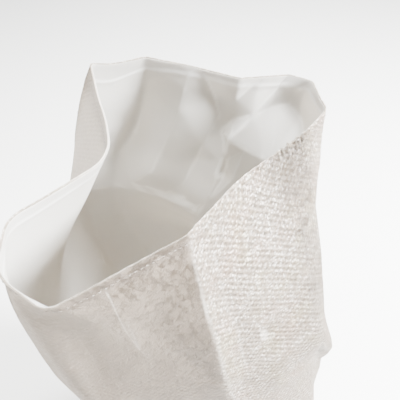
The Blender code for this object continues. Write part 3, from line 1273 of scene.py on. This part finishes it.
        # Whitening and painted highlights along the creases, weaker low on the wall.
        low = face.remap(face.down, self.zones.whitening_and_highlight_down, 1.0, self.whitening_and_highlight_low)
        face.lay(self.crease_whitening_and_highlight, face.crease(), low)
        face.lay(self.pressed, face.pressed, face.upper)
        # Painted highlight line along the front left's ridge.
        place, slope, bend = self.fold_curve
        line = face.times(face.down, face.less(slope, face.times(face.down, bend)))
        off_line = face.maths("ABSOLUTE", face.less(face.around, face.plus(line, place)))
        face.lay(self.fold_highlight_line, off_line, face.zone(face.down, *self.zones.line_down))

    def height(self, face: ClothFace, crumple: Tree) -> Socket:
        """The weave, the crushed front and the crumple together.

        Args:
            face: the cloth's nodes.
            crumple: the crumple group.

        Returns:
            The height of the cloth's relief.
        """
        raised = face.times(face.weave["Height"], face.below_rim, face.woven)
        crushed = face.plus(face.times(face.mottle, self.mottle_relief),
                            face.times(face.streaks, self.streak_relief))
        crumpled = face.times(face.shared(crumple, face.spot, self.crumple_scale),
                              face.remap(face.down, self.zones.crumpled_down, *self.crumple_relief))
        return face.plus(raised, face.times(crushed, face.flat), crumpled)

    def make(self, weave: Tree, dust: Tree, crumple: Tree) -> bpy.types.Material:
        """Build the material.

        Args:
            weave: the weave group.
            dust: the shared dust group.
            crumple: the shared crumple group.

        Returns:
            The finished material.
        """
        face = ClothFace(self, weave, dust)
        self.colour_tapes(face)
        self.soil_and_shade_cloth(face)
        self.whiten_and_highlight_folds(face)
        return self.let_through(face, face.dress(face.weave["Shade"], self.height(face, crumple), self))


@dataclass(frozen=True)
class SatinLiner(Sheet):
    """Smooth inner ply with a soft sheen and faint handling marks."""

    name: str = "satin_liner"
    roughness: Pair = (0.36, 0.5)
    relief: float = 0.001
    through: float = 0.53
    glow: Triple = (0.92, 0.895, 0.85)
    light: Triple = (0.70, 0.69, 0.67)
    deep: Triple = (0.62, 0.60, 0.57)
    # Strong whitening along the liner's creases and hem edge, partly stress whitening, partly painted
    # highlight.
    crease_whitening_and_highlight: Mark = Mark((0.30, 0.90), 0.85, (0.98, 0.98, 0.97))
    grain: Cloud = Cloud(260.0, 2.0, 0.5, (0.3, 0.7))
    cloud_scale: float = 10.0
    cloud_relief: float = 0.14
    crumple_scale: float = 17.0
    crumple_relief: float = 0.7

    def make(self, dust: Tree, crumple: Tree) -> bpy.types.Material:
        """Build the material.

        Args:
            dust: the shared dust group.
            crumple: the shared crumple group.

        Returns:
            The finished material.
        """
        face = Face(self.name)
        spot = face.add("ShaderNodeTexCoord").outputs["Object"]
        clouds = face.shared(dust, spot, self.cloud_scale)
        face.colour = face.mix(clouds, self.light, self.deep)
        # Whitening and painted highlights along the liner's creases.
        face.lay(self.crease_whitening_and_highlight, face.crease())
        crumpled = face.times(face.shared(crumple, spot, self.crumple_scale), self.crumple_relief)
        height = face.plus(face.times(clouds, self.cloud_relief), crumpled)
        return self.let_through(face, face.dress(self.grain.over(face, spot), height, self))


@dataclass(frozen=True)
class SpunThread(Finish):
    """White spun sewing thread."""

    name: str = "spun_thread"
    roughness: Pair = (0.62, 0.68)
    relief: float = 0.00006
    light: Triple = (0.40, 0.355, 0.31)
    deep: Triple = (0.22, 0.19, 0.16)
    twist: Cloud = Cloud(1500.0, 2.0, 0.6, (0.35, 0.65))

    def make(self) -> bpy.types.Material:
        """Build the material.

        Returns:
            The finished material.
        """
        face = Face(self.name)
        twist = self.twist.over(face, face.add("ShaderNodeTexCoord").outputs["Object"])
        face.colour = face.mix(twist, self.light, self.deep)
        face.dress(twist, twist, self)
        return face.material


@dataclass(frozen=True)
class Wall:
    """The sack's wall with its small folds worked in, as rows and columns of points."""

    along: Array
    depths: Array
    points: Array
    normals: Array

    def at(self, depth: Array) -> tuple[Array, Array]:
        """Read the wall between its rows.

        Args:
            depth: a depth for each column.

        Returns:
            The point and the normal of each column there.
        """
        index = np.interp(depth, self.depths, np.arange(len(self.depths)))
        low = np.minimum(index.astype(int), len(self.depths) - 2)
        t = (index - low)[:, None]
        pick = np.arange(len(self.along))
        point, normal = (grid[low, pick] * (1 - t) + grid[low + 1, pick] * t
                         for grid in (self.points, self.normals))
        return point, normal


@dataclass
class Sack:
    """The sack's wall, bottom and mouth, in all its plies.

    A crowd says how much closer the columns stand at a place, then its place where it
    has one of its own, and its width. A span of rows is its first depth, its end and
    its step. Floors say how far each row of the bottom is drawn in from its edges.
    """

    shape: SackShape = field(default_factory=SackShape)
    relief: ClothRelief = field(default_factory=ClothRelief)
    columns: int = 320
    crowd_steps: int = 4001
    crease_crowd: Pair = (0.35, 0.008)
    hem_crowd: float = 1.3
    dent_crowd: Triple = (1.1, 0.215, 0.060)
    top_rows: tuple[float, ...] = (0.0015, 0.003, 0.0045, 0.006)
    wall_spans: tuple[Triple, ...] = ((0.008, 0.040, 0.0022), (0.040, 0.12, 0.0028),
                                      (0.12, 0.22, 0.0048), (0.22, 0.670, 0.0082))
    foot_rows: tuple[float, ...] = (0.673, 0.6765, 0.679)
    cloth_floor: tuple[float, ...] = (0.0005, 0.003, 0.008, 0.02, 0.035, 0.05, 0.062, 0.0695)
    liner_floor: tuple[float, ...] = (0.004, 0.01, 0.02, 0.035, 0.05, 0.062, 0.0695)
    cloth: float = 0.0005
    liner: float = 0.0003
    ply_gap: float = 0.0003
    fold: float = 0.0015
    roll: float = 0.0012
    roll_turn: Pair = (math.radians(155), math.radians(25))
    roll_rows: int = 6
    hem_shares: tuple[float, ...] = (1.0, 0.84, 0.68, 0.54, 0.42, 0.32, 0.22)
    hem_cloth: float = 0.015
    off_hem: Pair = (0.0005, 0.0025)
    # Painted highlight line on the liner just above the folded hem's edge.
    hem_edge_highlight: Pair = (0.001, 0.0022)
    stitch_depth: float = 0.0075
    stitch_spacing: float = 0.0050
    stitch_steps: int = 8
    stitch_lift: tuple[float, ...] = (-0.0006, 0.0001, 0.00025, 0.00025, 0.0001, -0.0006)
    stitch_rows: tuple[float, ...] = (-0.002, -0.001, 0.0, 0.001, 0.002)
    thread: float = 0.0002
    thread_smooth: float = math.radians(60)

    def along(self) -> Array:
        """Columns of the grid, closer together at the creases, the rough hem and the dent.

        Returns:
            The distance of each column round the cloth.
        """
        fine = np.linspace(0.0, self.shape.girth, self.crowd_steps)
        crowd = np.ones_like(fine)
        more, wide = self.crease_crowd
        for start, _, _ in self.shape.creases.values():
            crowd += more * bell(lap(fine, start * MM), wide)
        crowd += self.hem_crowd * self.relief.hem.rough.share(fine)
        more, place, wide = self.dent_crowd
        crowd += more * bell(fine - place, wide)
        total = np.concatenate([[0.0], np.cumsum((crowd[1:] + crowd[:-1]) / 2)])
        shares = np.arange(self.columns) / self.columns * total[-1]
        return np.interp(shares, total, fine)

    def wall_rows(self) -> Array:
        """Depths of the wall's rows, closest at the mouth."""
        spans = [np.arange(*span) for span in self.wall_spans]
        return np.concatenate([self.top_rows, *spans, self.foot_rows])

    def wall(self, along: Array, depths: Array) -> Wall:
        """Work the small folds into the wall.

        Args:
            along: distances round the cloth, one for each column.
            depths: depths below the mouth, one for each row.

        Returns:
            The wall.
        """
        points = self.shape.wall(along, depths)
        height = self.relief.height(along, depths)
        points = points + outward_normals(points) * height[:, :, None]
        points[:, :, 2] += self.relief.rim.lift(along, depths)
        return Wall(along, depths, points, outward_normals(points))

    def floor(self, along: Array, shrinks: tuple[float, ...], level: float
              ) -> tuple[list[Array], list[float]]:
        """Rows that close the block bottom.

        Args:
            along: distances round the cloth.
            shrinks: how far each row is drawn in from the bottom's edges.
            level: their height.

        Returns:
            The points of each row, and each row's way down the cloth.
        """
        places = [np.column_stack([self.shape.block_row(along, shrink), np.full(len(along), level)])
                  for shrink in shrinks]
        return places, [self.shape.height + shrink for shrink in shrinks]

    def build_cloth(self, wall: Wall) -> bpy.types.Object:
        """The woven tube, with its hem folded in at the mouth and its bottom closed.

        Args:
            wall: the outer face.

        Returns:
            The finished piece.
        """
        places, rows = [], []
        width = self.relief.hem.edge(wall.along)
        for share in self.hem_shares:
            point, normal = wall.at(width * share)
            places.append(point - normal * self.fold)
            rows.append(-self.hem_cloth * share)
        for angle in np.linspace(*self.roll_turn, self.roll_rows):
            inset = self.fold / 2 * (1 - math.cos(angle))
            rise = np.array([0.0, 0.0, self.roll * math.sin(angle)])
            places.append(wall.points[0] - wall.normals[0] * inset + rise)
            rows.append(self.roll * math.cos(angle))
        floor, levels = self.floor(wall.along, self.cloth_floor, 0.0)
        rows = np.array([*rows, *wall.depths, *levels])
        # Crease sharpness for the whitening and the painted highlights.
        whitening_and_highlight = self.relief.folds.wear_and_highlight(wall.along, rows)
        places = np.array([*places, *wall.points, *floor])
        return ShellGrid(Ply.CLOTH.piece, wall.along, rows, places, whitening_and_highlight, self.cloth).build()

    def build_liner(self, wall: Wall) -> bpy.types.Object:
        """The smooth ply just inside the cloth, over the folded hem.

        Args:
            wall: the outer face of the cloth.

        Returns:
            The finished piece.
        """
        inset, over_hem = self.cloth + self.ply_gap, self.fold + self.ply_gap
        edge = self.relief.hem.edge(wall.along)[None, :]
        after, over = self.off_hem
        share = smooth_step((wall.depths[:, None] - edge - after) / over)[:, :, None]
        places = wall.points - wall.normals * (over_hem + (inset - over_hem) * share)
        floor, levels = self.floor(wall.along, self.liner_floor, inset)
        rows = np.array([*wall.depths, *levels])
        # A painted highlight line along the step of the folded hem, added to the crease whitening.
        above, wide = self.hem_edge_highlight
        whitening_and_highlight = self.relief.folds.wear_and_highlight(wall.along, rows) + bell(rows[:, None] - edge + above, wide)
        return ShellGrid(Ply.LINER.piece, wall.along, rows, np.array([*places, *floor]),
                         np.minimum(whitening_and_highlight, 1.0), self.liner).build()

    def build_stitching(self) -> bpy.types.Object:
        """Stitches round the mouth, one short thread for each.

        Returns:
            The finished piece.
        """
        count = round(self.shape.girth / self.stitch_spacing)
        fine = np.linspace(0.0, self.shape.girth, count * self.stitch_steps, endpoint=False)
        wall = self.wall(fine, self.stitch_depth + np.array(self.stitch_rows))
        middle = len(self.stitch_rows) // 2
        line, face = wall.points[middle], wall.normals[middle]
        bpy.ops.object.select_all(action="DESELECT")
        for index in range(count):
            curve = bpy.data.curves.new("stitch", "CURVE")
            curve.dimensions = "3D"
            curve.bevel_depth = self.thread
            curve.bevel_resolution = 1
            curve.use_fill_caps = True
            spline = curve.splines.new("POLY")
            spline.points.add(len(self.stitch_lift) - 1)
            for step, (point, lift) in enumerate(zip(spline.points, self.stitch_lift)):
                pick = index * self.stitch_steps + step
                point.co = (*(line[pick] + face[pick] * lift), 1.0)
            stitch = bpy.data.objects.new("stitch", curve)
            bpy.context.collection.objects.link(stitch)
            stitch.select_set(True)
        bpy.context.view_layer.objects.active = bpy.context.selected_objects[0]
        bpy.ops.object.convert(target="MESH")
        bpy.ops.object.join()
        run = bpy.context.object
        run.name = run.data.name = Ply.STITCHING.piece
        bpy.ops.object.shade_smooth_by_angle(angle=self.thread_smooth)
        return run

    def build(self) -> list[bpy.types.Object]:
        """Build and dress every ply, and set each in place of its solid.

        Returns:
            The finished pieces.
        """
        wall = self.wall(self.along(), self.wall_rows())
        dust, crumple = HandlingDust().group(), Crumple().group()
        cloth = WovenTape().make(TapeWeave().group(), dust, crumple)
        liner = SatinLiner().make(dust, crumple)
        dressed = ((self.build_cloth(wall), Ply.CLOTH, cloth),
                   (self.build_liner(wall), Ply.LINER, liner),
                   (self.build_stitching(), Ply.STITCHING, SpunThread().make()))
        for piece, ply, material in dressed:
            piece.data.materials.clear()
            piece.data.materials.append(material)
            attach(piece, "root")
            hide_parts(ply.solid)
        return [piece for piece, _, _ in dressed]


@dataclass(frozen=True)
class SoftLamp:
    """A square soft light: its place as seen from the front lip, its side and its watts."""

    name: str
    where: Triple
    size: float
    power: float
    tint: Triple


@dataclass
class Studio:
    """Pale floor, soft light and the camera above the sack's front lip."""

    shape: SackShape = field(default_factory=SackShape)
    eye_back: float = 0.350
    eye_rise: float = 0.273
    tilt: float = math.radians(45.0)
    field_px: float = 483.0
    frame_px: float = 400.0
    sensor: float = 36.0
    aim_height: float = 0.9
    floor_side: float = 12.0
    floor_colour: Triple = (0.66, 0.65, 0.635)
    floor_roughness: float = 0.7
    sky_colour: Triple = (1.0, 0.93, 0.85)
    sky_strength: float = 0.38
    lamps: tuple[SoftLamp, ...] = (
        SoftLamp("key", (1.95, -0.35, 1.60), 0.60, 800.0, (0.96, 0.99, 1.0)),
        SoftLamp("top", (0.36, 0.60, 2.45), 0.6, 370.0, (0.96, 0.99, 1.0)),
        SoftLamp("side", (-2.10, -0.66, 0.92), 0.8, 112.0, (1.0, 0.98, 0.95)))

    def place(self, x: float, y: float, z: float) -> Vector:
        """A point given as seen from the front lip, in the model's frame."""
        return Vector((*self.shape.to_frame(x, y), z))

    def camera(self) -> None:
        """The camera, looking down into the mouth."""
        data = bpy.data.cameras.new("camera")
        data.sensor_width = self.sensor
        data.lens = self.field_px / self.frame_px * self.sensor
        eye = bpy.data.objects.new("camera", data)
        eye.location = self.place(0.0, -self.eye_back, self.shape.height + self.eye_rise)
        eye.rotation_euler = (math.pi / 2 - self.tilt, 0.0, self.shape.mouth_turn)
        bpy.context.collection.objects.link(eye)
        bpy.context.scene.camera = eye

    def light(self, lamp: SoftLamp) -> None:
        """Place a soft light and aim it at the mouth.

        Args:
            lamp: the light.
        """
        data = bpy.data.lights.new(lamp.name, "AREA")
        data.size, data.energy, data.color = lamp.size, lamp.power, lamp.tint
        light = bpy.data.objects.new(lamp.name, data)
        light.location = self.place(*lamp.where)
        aim = self.place(0.0, 0.0, self.shape.height * self.aim_height) - light.location
        light.rotation_euler = aim.to_track_quat("-Z", "Y").to_euler()
        bpy.context.collection.objects.link(light)

    def floor(self) -> None:
        """A wide pale floor."""
        bpy.ops.object.select_all(action="DESELECT")
        bpy.ops.mesh.primitive_plane_add(size=self.floor_side)
        floor = bpy.context.object
        floor.name = "floor"
        paint = Face("pale_floor")
        paint.feed(paint.shader, {"Base Color": self.floor_colour,
                                  "Roughness": self.floor_roughness})
        floor.data.materials.append(paint.material)

    def world(self) -> None:
        """An even pale sky."""
        world = bpy.data.worlds.new("soft_sky")
        world.use_nodes = True
        n = Nodes(world.node_tree)
        n.feed(n.tree.nodes["Background"], {0: self.sky_colour, 1: self.sky_strength})
        bpy.context.scene.world = world

    def build(self) -> None:
        """Set the stage."""
        self.camera()
        self.floor()
        self.world()
        for lamp in self.lamps:
            self.light(lamp)


def main() -> None:
    """Build the sack and its studio, and report each piece."""
    logging.basicConfig(level=logging.INFO, format="%(name)s: %(message)s")
    for thing in bpy.context.selected_objects:
        thing.select_set(False)
    for piece in Sack().build():
        log.info("%s: %d faces", piece.name, len(piece.data.polygons))
    Studio().build()


if __name__ == "__main__":
    main()
